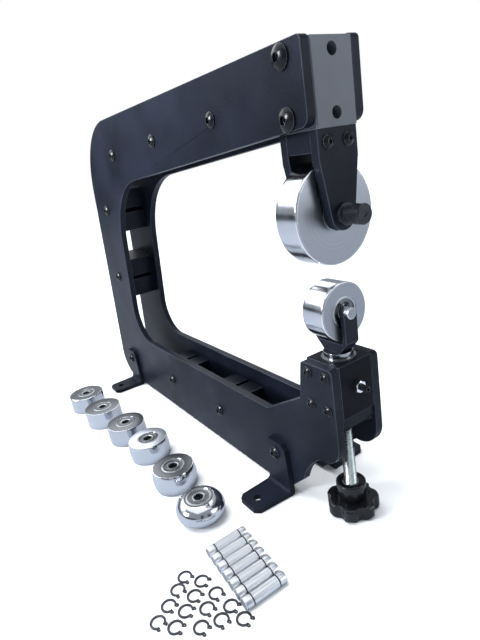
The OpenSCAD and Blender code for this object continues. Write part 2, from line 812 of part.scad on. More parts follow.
// Guide block, its bush and the nut plate under it
module guide_block() {
    x0 = guide_front - guide_d;
    color(black_paint) difference() {
        translate([0, 0, guide_z]) linear_extrude(guide_h) block_plan(x0, guide_front, plate_in);
        bar_z(2 * post_bore_r, guide_z - over, guide_top + over, axis_x, 0);
        bar_z(bush_d + 2 * fit_clear, guide_top - bush_l, guide_top + over, axis_x, 0);
        bar_x(clamp_d + 2 * fit_clear, axis_x, guide_front + over, 0, clamp_z);
        for (p = tower_screws()) both_sides()
            bar_y(block_screw_d + 2 * fit_clear, -plate_in - over, -plate_in + tower_grip + tip_gap,
                p[0], p[1]);
        for (p = nut_screw_places())
            bar_z(nut_screw_d + 2 * fit_clear, guide_z - over, guide_z + nut_screw_grip + tip_gap,
                p[0], p[1]);
    }
}
nut_screw_grip = 5;
function nut_screw_places() = [for (x = [-0.5, 0.5], y = [-0.5, 0.5])
    [axis_x + x * nut_screw_pitch, y * nut_screw_pitch]];
module post_bush() {
    color(bright_steel) difference() {
        bar_z(bush_d, guide_top - bush_l, guide_top + bush_proud, axis_x, 0);
        bar_z(2 * post_bore_r, guide_top - bush_l - over, guide_top + bush_proud + over, axis_x, 0);
    }
}
module nut_plate() {
    x0 = guide_front - guide_d + nut_plate_recess / 2;
    color(black_paint) difference() {
        translate([x0, -plate_in, nut_plate_z])
            cube([guide_front - nut_plate_recess - x0, plate_gap, nut_plate_t]);
        bar_z(rod_d + 2 * fit_clear, nut_plate_z - over, guide_z + over, axis_x, 0);
        for (p = nut_screw_places()) {
            bar_z(nut_screw_d + 2 * hole_clear, nut_plate_z - over, guide_z + over, p[0], p[1]);
            translate([p[0], p[1], nut_plate_z]) mirror([0, 0, 1]) flat_seat(nut_screw_d);
        }
    }
}
module nut_plate_screws() {
    color(black_oxide) for (p = nut_screw_places())
        translate([p[0], p[1], nut_plate_z]) mirror([0, 0, 1])
            flat_screw(nut_screw_d, nut_plate_t + nut_screw_grip);
}

// Post: slides in the guide block and rests on the rod
yoke_screw_d = small_screw_d;
yoke_screw_grip = 12;
module anvil_post() {
    color(bright_steel) difference() {
        bar_z(post_d, post_low, post_top, axis_x, 0);
        bar_z(spigot_d + 2 * fit_clear, post_low - over, post_low + spigot_l + tip_gap, axis_x, 0);
        bar_z(yoke_screw_d + 2 * fit_clear, post_top - yoke_screw_grip - tip_gap, post_top + over,
            axis_x, 0);
        translate([axis_x + post_d / 2 - post_flat, -post_d / 2, post_low - over])
            cube([post_flat + over, post_d, clamp_z + flat_reach - post_low]);
    }
}

// Yoke: a U-shaped carrier whose ears hold the anvil's pin in open cradles
yoke_floor = anvil_axis_z - anvil_d / 2 - yoke_floor_gap;
module yoke_outline() {
    x0 = axis_x - yoke_out;
    x1 = axis_x + yoke_out;
    cut_z = post_top + yoke_cut_h;
    polygon([[x0, anvil_axis_z], [x0, cut_z], [x0 + yoke_cut_run, post_top],
        [x1 - yoke_cut_run, post_top], [x1, cut_z], [x1, anvil_axis_z],
        [axis_x + yoke_in, anvil_axis_z], [axis_x + yoke_in, yoke_floor],
        [axis_x - yoke_in, yoke_floor], [axis_x - yoke_in, anvil_axis_z]]);
}
module anvil_yoke() {
    color(black_paint) difference() {
        wall_xz(-yoke_w / 2, yoke_w / 2) yoke_outline();
        bar_x(pin_d + 2 * fit_clear, axis_x - yoke_out - over, axis_x + yoke_out + over,
            0, anvil_axis_z);
        bar_z(yoke_screw_d + 2 * hole_clear, post_top - over, yoke_floor + over, axis_x, 0);
        translate([axis_x, 0, yoke_floor]) flat_seat(yoke_screw_d);
    }
}
module yoke_screw() {
    color(black_oxide) translate([axis_x, 0, yoke_floor])
        flat_screw(yoke_screw_d, yoke_floor - post_top + yoke_screw_grip);
}

// Anvil pin about Z, centred on the origin, with two clip grooves and broken ends
pin_chamfer = 0.6;
module pin_profile() {
    h = pin_l / 2;
    r = pin_d / 2;
    g = r - groove_depth;
    polygon([[0, -h], [r - pin_chamfer, -h], [r, -h + pin_chamfer],
        [r, -clip_in - clip_t], [g, -clip_in - clip_t], [g, -clip_in], [r, -clip_in],
        [r, clip_in], [g, clip_in], [g, clip_in + clip_t], [r, clip_in + clip_t],
        [r, h - pin_chamfer], [r - pin_chamfer, h], [0, h]]);
}
module pin_body() { color(bright_steel) rotate_extrude() pin_profile(); }
module anvil_pin() { on_anvil_axis() pin_body(); }
module anvil_pin_clips() {
    clip_on_x(axis_x + clip_in + clip_t, anvil_axis_z);
    clip_on_x(axis_x - clip_in, anvil_axis_z);
}
module on_anvil_axis() { translate([axis_x, 0, anvil_axis_z]) rotate([0, 90, 0]) children(); }
module mounted_anvil() { color(bright_steel) on_anvil_axis() wheel_body(anvil_d, 0); }
module mounted_anvil_bearings() { on_anvil_axis() bearing_pair(); }

// Threaded rod with a plain spigot that turns in the post
module adjuster_rod() {
    color(zinc) union() {
        bar_z(rod_d, rod_low, rod_shoulder, axis_x, 0);
        bar_z(spigot_d, rod_shoulder - over, post_low + spigot_l, axis_x, 0);
    }
}

// Star knob: lobes and valleys are arcs that touch each other
lobe_at = knob_d / 2 - lobe_r;
half_step = 180 / knob_lobes;
valley_at = (pow(lobe_at, 2) - pow(lobe_r - valley_r, 2))
    / (2 * (lobe_at * cos(half_step) + lobe_r - valley_r));
valley_arc_r = valley_at - valley_r;
function polar(r, a) = [r * cos(a), r * sin(a)];
function lobe_touch(k, side) =
    let (c = polar(lobe_at, 2 * k * half_step), v = polar(valley_at, (2 * k + side) * half_step))
    along(c, v, lobe_r);
module knob_outline() {
    difference() {
        union() {
            polygon([for (k = [0:knob_lobes - 1], side = [-1, 1]) lobe_touch(k, side)]);
            for (k = [0:knob_lobes - 1]) translate(polar(lobe_at, 2 * k * half_step)) circle(lobe_r);
        }
        for (k = [0:knob_lobes - 1])
            translate(polar(valley_at, (2 * k + 1) * half_step)) circle(valley_arc_r);
    }
}
// The round envelope that softens the lobes' upper and lower edges
module knob_envelope() {
    r = knob_d / 2;
    e = knob_edge_r;
    rotate_extrude() union() {
        square([r - e, knob_disc_h]);
        translate([0, e]) square([r, knob_disc_h - 2 * e]);
        for (y = [e, knob_disc_h - e]) translate([r - e, y]) circle(e);
    }
}
hub_rim = 2;
hub_dish = 1.5;
hub_taper = 1;
hub_band = 4;
insert_proud = 0.5;
module star_knob() {
    hub_r = hub_d / 2;
    hub_top = knob_disc_h + hub_h;
    color(black_plastic) translate([axis_x, 0, knob_z]) difference() {
        union() {
            difference() {
                intersection() {
                    linear_extrude(knob_disc_h) knob_outline();
                    knob_envelope();
                }
                translate([0, 0, knob_disc_h - dish_depth])
                    cylinder(r = dish_r, h = dish_depth + over);
            }
            rotate_extrude() polygon([[0, over], [hub_r - hub_taper, over],
                [hub_r - hub_taper, knob_disc_h - dish_depth], [hub_r, hub_top - hub_band],
                [hub_r, hub_top - hub_taper], [hub_r - hub_taper, hub_top], [0, hub_top]]);
        }
        translate([0, 0, hub_top - hub_dish]) cylinder(r = hub_r - hub_rim, h = hub_dish + over);
        translate([0, 0, hub_top - insert_l])
            cylinder(d = insert_d + 2 * fit_clear, h = insert_l + over);
        translate([0, 0, rod_seat]) cylinder(d = rod_d + 2 * fit_clear, h = hub_top);
    }
}
module knob_insert() {
    color(bright_steel) difference() {
        bar_z(insert_d, knob_top - insert_l, knob_top - hub_dish + insert_proud, axis_x, 0);
        bar_z(rod_d + 2 * fit_clear, knob_top - insert_l - over, knob_top + over, axis_x, 0);
    }
}

// Clamp screw and its nut
clamp_tip_gap = 0.3;
clamp_face_gap = 0.1;
clamp_key_depth = 3.5;
module clamp_screw() {
    x0 = axis_x + post_d / 2 - post_flat + clamp_tip_gap;
    x1 = guide_front + clamp_face_gap + clamp_nut_t + clamp_out;
    key = clamp_d / 2;
    color(black_oxide) difference() {
        bar_x(clamp_d, x0, x1, 0, clamp_z);
        translate([x1, 0, clamp_z]) rotate([0, 90, 0]) hex_socket(key, 0, clamp_key_depth);
    }
}
module clamp_nut() {
    x0 = guide_front + clamp_face_gap;
    color(bright_steel) difference() {
        translate([x0, 0, clamp_z]) rotate([0, 90, 0])
            cylinder(d = clamp_nut_af / cos(30), h = clamp_nut_t, $fn = 6);
        bar_x(clamp_d + 2 * fit_clear, x0 - over, x0 + clamp_nut_t + over, 0, clamp_z);
    }
}

// Foot bracket: an L section with tapered legs and cut corners.
// It is drawn for the near side, centred on x = 0.
module leg_mask(length) {
    w = foot_w / 2;
    e = w - foot_taper;
    polygon([[-w, 0], [w, 0], [e, length - foot_cut], [e - foot_cut, length],
        [-e + foot_cut, length], [-e, length - foot_cut]]);
}
module foot_section() {
    r = foot_bend_r;
    difference() {
        union() {
            translate([-foot_out, 0]) square([foot_t, foot_h]);
            translate([-plate_out - foot_reach, 0]) square([foot_reach, foot_t]);
            difference() {
                translate([-foot_out - r, foot_t - slip]) square([r + slip, r + slip]);
                translate([-foot_out - r, foot_t + r]) circle(r);
            }
        }
        corner_piece([-plate_out, foot_h], [-plate_out, 0], [-plate_out - foot_reach, 0], foot_bend_r);
    }
}
module foot() {
    color(black_paint) difference() {
        wall_yz(-foot_w / 2, foot_w / 2) foot_section();
        difference() {
            translate([-foot_w, -plate_out - foot_reach - over, -over])
                cube([2 * foot_w, foot_reach - foot_t + over, foot_h]);
            translate([0, -plate_out, -2 * over]) mirror([0, 1, 0])
                linear_extrude(foot_h + 4 * over) leg_mask(foot_reach);
        }
        difference() {
            translate([-foot_w, -foot_out - over, foot_t])
                cube([2 * foot_w, foot_t + 2 * over, foot_h]);
            wall_xz(-foot_out - 2 * over, -plate_out + 2 * over) leg_mask(foot_h);
        }
        bar_z(foot_hole_d, -over, foot_t + over, 0, -plate_out - foot_hole_reach);
        bar_y(screw_d + 2 * hole_clear, -foot_out - over, -plate_out + over, 0, foot_screw_z);
    }
}
module front_near_foot() { translate([foot_pitch / 2, 0, 0]) foot(); }
module rear_near_foot() { translate([-foot_pitch / 2, 0, 0]) foot(); }
module front_far_foot() { mirror([0, 1, 0]) front_near_foot(); }
module rear_far_foot() { mirror([0, 1, 0]) rear_near_foot(); }

// Spare anvils, standing on their faces beside the frame, from flat to full round.
// Each entry: x, y, crown radius (0 = flat).
spare_anvils = [[-176, -124, 0], [-107, -121, 240], [-35, -113, 90], [28, -108, 56],
    [105, -111, 34], [173, -116, 12.4]];
module spare_anvil(i) {
    s = spare_anvils[i];
    color(bright_steel) translate([s[0], s[1], wheel_w / 2]) wheel_body(anvil_d, s[2]);
}
module spare_anvil_1() { spare_anvil(0); }
module spare_anvil_2() { spare_anvil(1); }
module spare_anvil_3() { spare_anvil(2); }
module spare_anvil_4() { spare_anvil(3); }
module spare_anvil_5() { spare_anvil(4); }
module spare_anvil_6() { spare_anvil(5); }
module spare_anvil_bearings() {
    for (s = spare_anvils) translate([s[0], s[1], wheel_w / 2]) bearing_pair();
}

// Spare pins, lying side by side
spare_pin_count = 7;
spare_pin_x = 225;
spare_pin_y = -118.5;
spare_pin_gap = 0.9;
spare_pin_stagger = 0.9;
module spare_pins() {
    for (i = [0:spare_pin_count - 1])
        translate([spare_pin_x + i * (pin_d + spare_pin_gap), spare_pin_y - i * spare_pin_stagger,
            pin_d / 2]) rotate([90, 0, 0]) pin_body();
}

// Spare clips, scattered in front of the pins. Each entry: x, y, turn.
spare_clip_places = [[229, -166, 20], [243, -157, 35], [237, -177, 5], [252, -169, 30],
    [262, -154, 10], [246, -190, 25], [260, -181.5, 40], [269.5, -167, 15], [280.5, -151, 30],
    [254, -203.5, 10], [267.5, -194.5, 35], [281, -179, 20], [286, -163.5, 5], [297, -149.5, 25]];
module spare_clips() {
    color(satin_steel) for (p = spare_clip_places)
        translate([p[0], p[1], 0]) rotate([0, 0, p[2]]) clip();
}

near_side_plate();
far_side_plate();
upper_arm_spacers();
column_spacers();
lower_arm_spacers();
nose_block();
guide_block();
nut_plate();
nut_plate_screws();
near_plate_screws();
far_plate_screws();
nose_cross_bolts();
near_tower_screws();
far_tower_screws();
front_near_foot();
front_far_foot();
rear_near_foot();
rear_far_foot();
foot_screws();
fork_crown();
crown_screws();
front_fork_ear();
rear_fork_ear();
fork_ear_screws();
upper_axle();
upper_axle_clip();
upper_axle_shims();
upper_wheel();
upper_wheel_bearings();
post_bush();
anvil_post();
anvil_yoke();
yoke_screw();
anvil_pin();
anvil_pin_clips();
mounted_anvil();
mounted_anvil_bearings();
adjuster_rod();
star_knob();
knob_insert();
clamp_screw();
clamp_nut();
spare_anvil_1();
spare_anvil_2();
spare_anvil_3();
spare_anvil_4();
spare_anvil_5();
spare_anvil_6();
spare_anvil_bearings();
spare_pins();
spare_clips();
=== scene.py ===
"""Looks for the benchtop english wheel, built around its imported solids.

Everything is in metres, in the part's own frame: +X towards the wheels, +Z up, the bench at z = 0.
"""
import json
import math

import bpy
from mathutils import Matrix, Vector


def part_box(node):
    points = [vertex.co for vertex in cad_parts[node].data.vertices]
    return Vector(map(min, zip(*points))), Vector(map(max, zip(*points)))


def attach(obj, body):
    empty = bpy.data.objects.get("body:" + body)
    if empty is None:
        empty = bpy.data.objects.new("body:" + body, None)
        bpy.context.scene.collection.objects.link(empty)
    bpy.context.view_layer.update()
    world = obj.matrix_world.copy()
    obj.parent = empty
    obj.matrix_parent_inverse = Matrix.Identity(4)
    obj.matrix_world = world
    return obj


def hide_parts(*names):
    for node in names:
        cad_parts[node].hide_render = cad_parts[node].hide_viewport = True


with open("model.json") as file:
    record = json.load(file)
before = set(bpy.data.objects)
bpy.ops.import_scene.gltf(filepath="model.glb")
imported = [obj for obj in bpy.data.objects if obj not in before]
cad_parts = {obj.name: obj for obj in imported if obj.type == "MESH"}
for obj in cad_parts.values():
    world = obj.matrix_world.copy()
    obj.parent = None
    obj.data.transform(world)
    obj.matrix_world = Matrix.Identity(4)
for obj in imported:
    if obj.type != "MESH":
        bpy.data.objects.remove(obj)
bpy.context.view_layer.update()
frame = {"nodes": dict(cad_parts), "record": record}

MM = 0.001
NODES = frame["nodes"]
BODY_OF = {n: b for b, names in frame["record"]["behaviour"]["bodies"].items() for n in names}



def middle(node):
    low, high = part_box(node)
    return (low + high) / 2


def half_size(node):
    low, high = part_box(node)
    return (high - low) / 2


UPPER_AXIS = middle("upper_wheel")
ANVIL_AXIS = middle("mounted_anvil")


# Selection and finishing

def nothing_selected():
    for o in bpy.context.selected_objects:
        o.select_set(False)


def take(obj):
    """Makes obj the only selected object, and the active one."""
    nothing_selected()
    obj.select_set(True)
    bpy.context.view_layer.objects.active = obj
    return obj


def edit(obj):
    """Opens obj for editing with all of its mesh selected."""
    take(obj)
    bpy.ops.object.mode_set(mode="EDIT")
    bpy.ops.mesh.select_all(action="SELECT")


def done():
    bpy.ops.object.mode_set(mode="OBJECT")


def apply_all(obj):
    take(obj)
    for modifier in list(obj.modifiers):
        bpy.ops.object.modifier_apply(modifier=modifier.name)


def ease_edges(obj, width, segments=2, limit=32.0, edge_slot=-1, clamp=False):
    """Breaks the sharp edges as a maker does, and shades the faces between them flat."""
    bevel = obj.modifiers.new("eased", "BEVEL")
    bevel.limit_method = "ANGLE"
    bevel.angle_limit = math.radians(limit)
    bevel.width = width
    bevel.segments = segments
    bevel.use_clamp_overlap = clamp
    bevel.miter_outer = "MITER_ARC"
    bevel.material = edge_slot
    apply_all(obj)
    bpy.ops.object.shade_smooth_by_angle(angle=math.radians(46))
    weighted = obj.modifiers.new("weighted", "WEIGHTED_NORMAL")
    weighted.keep_sharp = True
    weighted.weight = 60
    apply_all(obj)
    return obj


def rides_for(obj, *nodes):
    """obj stands for these CAD nodes and moves as the first of them; the nodes are hidden."""
    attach(obj, BODY_OF[nodes[0]])
    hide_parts(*nodes)
    return obj


def copied(node, name):
    """A merged copy of a CAD node's mesh, its flat areas made single faces again."""
    obj = bpy.data.objects.new(name, NODES[node].data.copy())
    obj.data.materials.clear()
    bpy.context.scene.collection.objects.link(obj)
    edit(obj)
    bpy.ops.mesh.customdata_custom_splitnormals_clear()
    bpy.ops.mesh.remove_doubles(threshold=2e-6)
    bpy.ops.mesh.dissolve_limited(angle_limit=math.radians(0.4))
    done()
    return obj


# Turned, threaded and joined shapes

def ring_drawn(obj_name, rings, segments):
    """The first circle of a turned shape, then one extrusion and one resize for each later ring."""
    nothing_selected()
    radius, height = rings[0]
    bpy.ops.mesh.primitive_circle_add(vertices=segments, radius=radius, fill_type="NOTHING",
                                      location=(0, 0, 0))
    obj = bpy.context.object
    obj.name = obj_name
    edit(obj)
    bpy.ops.transform.translate(value=(0, 0, height))
    for (r0, z0), (r1, z1) in zip(rings, rings[1:]):
        bpy.ops.mesh.extrude_region_move(TRANSFORM_OT_translate={"value": (0, 0, z1 - z0)})
        bpy.ops.transform.resize(value=(r1 / r0, r1 / r0, 1), center_override=(0, 0, z1))
    return obj


def turned_ring(name, rings, segments=96):
    """A turned shape with a bore: the profile ends where it starts."""
    obj = ring_drawn(name, rings + rings[:1], segments)
    bpy.ops.mesh.select_all(action="SELECT")
    bpy.ops.mesh.remove_doubles(threshold=1e-7)
    bpy.ops.mesh.normals_make_consistent(inside=False)
    done()
    return obj


def turned_solid(name, rings, segments=96):
    """A turned shape without a bore: both ends are closed by a flat face."""
    obj = ring_drawn(name, rings, segments)
    bpy.ops.mesh.select_all(action="SELECT")
    bpy.ops.mesh.fill_holes(sides=0)
    bpy.ops.mesh.normals_make_consistent(inside=False)
    done()
    return obj


def settle(obj, place=(0, 0, 0), turn=(0, 0, 0)):
    """Turns and moves a finished shape, and leaves its origin at the frame's origin."""
    take(obj)
    obj.rotation_euler = turn
    obj.location = place
    bpy.ops.object.transform_apply(location=True, rotation=True, scale=True)
    return obj


ALONG_X = (0, math.radians(90), 0)
ALONG_Y = (math.radians(90), 0, 0)


def joined(name, pieces):
    take(pieces[0])
    for piece in pieces[1:]:
        piece.select_set(True)
    if len(pieces) > 1:
        bpy.ops.object.join()
    pieces[0].name = name
    return pieces[0]


def smooth(obj, angle=30):
    take(obj)
    bpy.ops.object.shade_smooth_by_angle(angle=math.radians(angle))
    return obj


def paint(obj, slot_of):
    """Gives each face the material slot that slot_of names from its middle and its normal."""
    for face in obj.data.polygons:
        face.material_index = slot_of(face.center, face.normal)
    return obj


def mirrored(half):
    """A profile drawn for the upper half, followed by the same profile below the middle plane."""
    return half + [(r, -z) for r, z in reversed(half)]


def thread_ridge(name, core_r, crest_r, pitch, z0, z1, steps=36):
    """One closed V-shaped ridge wound along a screw, its two ends filled."""
    nothing_selected()
    bpy.ops.mesh.primitive_circle_add(vertices=4, radius=pitch / 2, fill_type="NOTHING",
                                      rotation=(math.radians(90), 0, 0))
    obj = bpy.context.object
    obj.name = name
    bpy.ops.object.transform_apply(location=False, rotation=True, scale=False)
    edit(obj)
    height = crest_r - core_r
    bpy.ops.transform.resize(value=(2 * height / pitch, 1, 1), center_override=(0, 0, 0))
    bpy.ops.transform.translate(value=(core_r, 0, z0))
    done()
    screw = obj.modifiers.new("wound", "SCREW")
    screw.axis = "Z"
    screw.angle = 2 * math.pi
    screw.screw_offset = pitch
    screw.iterations = int((z1 - z0) / pitch)
    screw.steps = steps
    screw.render_steps = steps
    apply_all(obj)
    edit(obj)
    bpy.ops.mesh.fill_holes(sides=8)
    bpy.ops.mesh.normals_make_consistent(inside=False)
    done()
    return obj


# Node materials

class Finish:
    """One node material, with short ways to add and join its nodes."""

    def __init__(self, name):
        self.material = bpy.data.materials.new(name)
        self.material.use_nodes = True
        self.tree = self.material.node_tree
        self.shader = self.tree.nodes["Principled BSDF"]

    def add(self, kind, **values):
        node = self.tree.nodes.new(kind)
        for key, value in values.items():
            setattr(node, key, value)
        return node

    def join(self, out, into):
        self.tree.links.new(out, into)

    def place(self):
        return self.add("ShaderNodeTexCoord").outputs["Object"]

    def group(self, tree, **values):
        node = self.add("ShaderNodeGroup", node_tree=tree)
        for key, value in values.items():
            node.inputs[key.replace("_", " ")].default_value = value
        return node

    def set(self, **values):
        for key, value in values.items():
            self.shader.inputs[key.replace("_", " ")].default_value = value
        return self

    def blend(self, factor, low, high):
        """A colour between two, by a factor socket."""
        mix = self.add("ShaderNodeMix", data_type="RGBA")
        mix.inputs["A"].default_value = (*low, 1)
        mix.inputs["B"].default_value = (*high, 1)
        self.join(factor, mix.inputs["Factor"])
        return mix.outputs["Result"]

    def ranged(self, value, low, high, start=0.0, end=1.0):
        """A value socket brought from start..end to low..high."""
        node = self.add("ShaderNodeMapRange")
        node.inputs["From Min"].default_value = start
        node.inputs["From Max"].default_value = end
        node.inputs["To Min"].default_value = low
        node.inputs["To Max"].default_value = high
        self.join(value, node.inputs["Value"])
        return node.outputs["Result"]

    def bump(self, height, strength, distance):
        node = self.add("ShaderNodeBump")
        node.inputs["Strength"].default_value = strength
        node.inputs["Distance"].default_value = distance
        self.join(height, node.inputs["Height"])
        self.join(node.outputs["Normal"], self.shader.inputs["Normal"])


def new_group(name, inputs, outputs):
    """An effect that several finishes share, with its named sockets."""
    tree = bpy.data.node_groups.new(name, "ShaderNodeTree")
    for label, kind, value in inputs:
        socket = tree.interface.new_socket(label, in_out="INPUT", socket_type=kind)
        if value is not None:
            socket.default_value = value
    for label, kind in outputs:
        tree.interface.new_socket(label, in_out="OUTPUT", socket_type=kind)
    start = tree.nodes.new("NodeGroupInput")
    end = tree.nodes.new("NodeGroupOutput")
    return tree, start, end


FLOAT, VECTOR = "NodeSocketFloat", "NodeSocketVector"


def noise_in(tree, place, scale, detail=2.0, rough=0.5):
    node = tree.nodes.new("ShaderNodeTexNoise")
    node.inputs["Detail"].default_value = detail
    node.inputs["Roughness"].default_value = rough
    tree.links.new(place, node.inputs["Vector"])
    if isinstance(scale, (int, float)):
        node.inputs["Scale"].default_value = scale
    else:
        tree.links.new(scale, node.inputs["Scale"])
    return node.outputs["Fac"]


def math_in(tree, operation, a, b=None, c=None):
    node = tree.nodes.new("ShaderNodeMath")
    node.operation = operation
    for i, value in enumerate((a, b, c)):
        if value is None:
            continue
        if isinstance(value, (int, float)):
            node.inputs[i].default_value = value
        else:
            tree.links.new(value, node.inputs[i])
    return node.outputs[0]


def make_powder_grain():
    """Fine pebbled grain of a powder coat: a height, and a slow drift of tone."""
    tree, start, end = new_group(
        "powder grain",
        [("Place", VECTOR, None), ("Grain", FLOAT, 900.0), ("Drift", FLOAT, 14.0)],
        [("Height", FLOAT), ("Tone", FLOAT), ("Speckle", FLOAT)])
    fine = noise_in(tree, start.outputs["Place"], start.outputs["Grain"], 2.0, 0.55)
    slow = noise_in(tree, start.outputs["Place"], start.outputs["Drift"], 3.0, 0.5)
    half_grain = math_in(tree, "MULTIPLY", start.outputs["Grain"], 0.45)
    coarse = noise_in(tree, start.outputs["Place"], half_grain, 1.0, 0.5)
    height = math_in(tree, "MULTIPLY_ADD", coarse, 0.6, fine)
    tree.links.new(height, end.inputs["Height"])
    tree.links.new(slow, end.inputs["Tone"])
    tree.links.new(fine, end.inputs["Speckle"])
    return tree


def make_turned_rings():
    """Rings that a lathe leaves on a face, round a centre and an axis."""
    tree, start, end = new_group(
        "turned rings",
        [("Place", VECTOR, None), ("Centre", VECTOR, (0, 0, 0)), ("Across", VECTOR, (1, 1, 1)),
         ("Rings", FLOAT, 2600.0)],
        [("Height", FLOAT), ("Tone", FLOAT), ("Radius", FLOAT)])
    sub = tree.nodes.new("ShaderNodeVectorMath")
    sub.operation = "SUBTRACT"
    tree.links.new(start.outputs["Place"], sub.inputs[0])
    tree.links.new(start.outputs["Centre"], sub.inputs[1])
    flat = tree.nodes.new("ShaderNodeVectorMath")
    flat.operation = "MULTIPLY"
    tree.links.new(sub.outputs[0], flat.inputs[0])
    tree.links.new(start.outputs["Across"], flat.inputs[1])
    length = tree.nodes.new("ShaderNodeVectorMath")
    length.operation = "LENGTH"
    tree.links.new(flat.outputs[0], length.inputs[0])
    radius = length.outputs["Value"]
    line = tree.nodes.new("ShaderNodeTexNoise")
    line.noise_dimensions = "1D"
    line.inputs["Detail"].default_value = 3.0
    line.inputs["Roughness"].default_value = 0.6
    tree.links.new(radius, line.inputs["W"])
    tree.links.new(start.outputs["Rings"], line.inputs["Scale"])
    broad = tree.nodes.new("ShaderNodeTexNoise")
    broad.noise_dimensions = "1D"
    broad.inputs["Detail"].default_value = 2.0
    tree.links.new(radius, broad.inputs["W"])
    tree.links.new(math_in(tree, "MULTIPLY", start.outputs["Rings"], 0.22), broad.inputs["Scale"])
    tree.links.new(line.outputs["Fac"], end.inputs["Height"])
    tree.links.new(broad.outputs["Fac"], end.inputs["Tone"])
    tree.links.new(radius, end.inputs["Radius"])
    return tree


def make_drawn_lines():
    """Long fine lines left by drawing or grinding: the place is squeezed along one direction."""
    tree, start, end = new_group(
        "drawn lines",
        [("Place", VECTOR, None), ("Squeeze", VECTOR, (1, 1, 1)), ("Lines", FLOAT, 900.0)],
        [("Height", FLOAT), ("Tone", FLOAT)])
    flat = tree.nodes.new("ShaderNodeVectorMath")
    flat.operation = "MULTIPLY"
    tree.links.new(start.outputs["Place"], flat.inputs[0])
    tree.links.new(start.outputs["Squeeze"], flat.inputs[1])
    fine = noise_in(tree, flat.outputs[0], start.outputs["Lines"], 3.0, 0.6)
    broad = noise_in(tree, flat.outputs[0], math_in(tree, "MULTIPLY", start.outputs["Lines"], 0.2), 2.0)
    tree.links.new(fine, end.inputs["Height"])
    tree.links.new(broad, end.inputs["Tone"])
    return tree


def make_handling():
    """Faint smears and fine scuffs from hands and cloths, as a mask from 0 to 1."""
    tree, start, end = new_group(
        "handling marks",
        [("Place", VECTOR, None), ("Size", FLOAT, 40.0)],
        [("Smear", FLOAT), ("Scuff", FLOAT)])
    smear = noise_in(tree, start.outputs["Place"], start.outputs["Size"], 4.0, 0.6)
    ramp = tree.nodes.new("ShaderNodeMapRange")
    ramp.inputs["From Min"].default_value = 0.42
    ramp.inputs["From Max"].default_value = 0.72
    tree.links.new(smear, ramp.inputs["Value"])
    scuff = noise_in(tree, start.outputs["Place"],
                     math_in(tree, "MULTIPLY", start.outputs["Size"], 16.0), 5.0, 0.75)
    sharp = tree.nodes.new("ShaderNodeMapRange")
    sharp.inputs["From Min"].default_value = 0.66
    sharp.inputs["From Max"].default_value = 0.74
    tree.links.new(scuff, sharp.inputs["Value"])
    tree.links.new(ramp.outputs["Result"], end.inputs["Smear"])
    tree.links.new(sharp.outputs["Result"], end.inputs["Scuff"])
    return tree


POWDER_GRAIN = make_powder_grain()
TURNED_RINGS = make_turned_rings()
DRAWN_LINES = make_drawn_lines()
HANDLING = make_handling()


def powder_coat(name, dark, light, roughness=0.4, grain=900.0, bump=0.45, specular=0.11):
    """Fine textured powder coat on steel."""
    f = Finish(name)
    place = f.place()
    coat = f.group(POWDER_GRAIN, Grain=grain)
    marks = f.group(HANDLING, Size=26.0)
    f.join(place, coat.inputs["Place"])
    f.join(place, marks.inputs["Place"])
    speckle = f.ranged(coat.outputs["Speckle"], -0.35, 0.35, 0.3, 0.7)
    tone = f.add("ShaderNodeMath", operation="ADD", use_clamp=True)
    f.join(speckle, tone.inputs[0])
    f.join(f.ranged(coat.outputs["Tone"], 0.0, 1.0, 0.3, 0.7), tone.inputs[1])
    f.join(f.blend(tone.outputs[0], dark, light), f.shader.inputs["Base Color"])
    rough = f.ranged(marks.outputs["Smear"], roughness, roughness - 0.06)
    f.join(rough, f.shader.inputs["Roughness"])
    f.bump(coat.outputs["Height"], bump, 0.00006)
    f.set(Specular_IOR_Level=specular)
    return f.material


def oiled_black(name, dark, light, roughness, specular=0.35):
    """Black oxide on a turned or headed steel part."""
    f = Finish(name)
    place = f.place()
    marks = f.group(HANDLING, Size=120.0)
    f.join(place, marks.inputs["Place"])
    f.join(f.blend(marks.outputs["Smear"], dark, light), f.shader.inputs["Base Color"])
    f.join(f.ranged(marks.outputs["Smear"], roughness, roughness + 0.1), f.shader.inputs["Roughness"])
    f.bump(marks.outputs["Smear"], 0.08, 0.0001)
    f.set(Specular_IOR_Level=specular, Coat_Weight=0.08, Coat_Roughness=0.15)
    return f.material


def bare_metal(name, dark, light, roughness, spread, squeeze=(1, 1, 1), lines=900.0, bump=0.1):
    """Bare or plated steel with drawn or ground lines."""
    f = Finish(name)
    place = f.place()
    drawn = f.group(DRAWN_LINES, Squeeze=squeeze, Lines=lines)
    marks = f.group(HANDLING, Size=70.0)
    f.join(place, drawn.inputs["Place"])
    f.join(place, marks.inputs["Place"])
    f.join(f.blend(f.ranged(drawn.outputs["Tone"], 0.0, 1.0, 0.3, 0.7), dark, light),
           f.shader.inputs["Base Color"])
    f.join(f.ranged(marks.outputs["Smear"], roughness, roughness + spread), f.shader.inputs["Roughness"])
    f.bump(drawn.outputs["Height"], bump, 0.00003)
    f.set(Metallic=1.0)
    return f.material


def turned_face(name, dark, light, roughness, centre, across, rings=2600.0, bump=0.25):
    """A face turned on a lathe, satin, with rings round its centre."""
    f = Finish(name)
    place = f.place()
    turned = f.group(TURNED_RINGS, Centre=centre, Across=across, Rings=rings)
    marks = f.group(HANDLING, Size=60.0)
    f.join(place, turned.inputs["Place"])
    f.join(place, marks.inputs["Place"])
    f.join(f.blend(f.ranged(turned.outputs["Tone"], 0.25, 0.75, 0.2, 0.8), dark, light),
           f.shader.inputs["Base Color"])
    f.join(f.ranged(marks.outputs["Smear"], roughness, roughness + 0.06), f.shader.inputs["Roughness"])
    f.bump(turned.outputs["Height"], bump, 0.00002)
    f.set(Metallic=1.0)
    return f.material


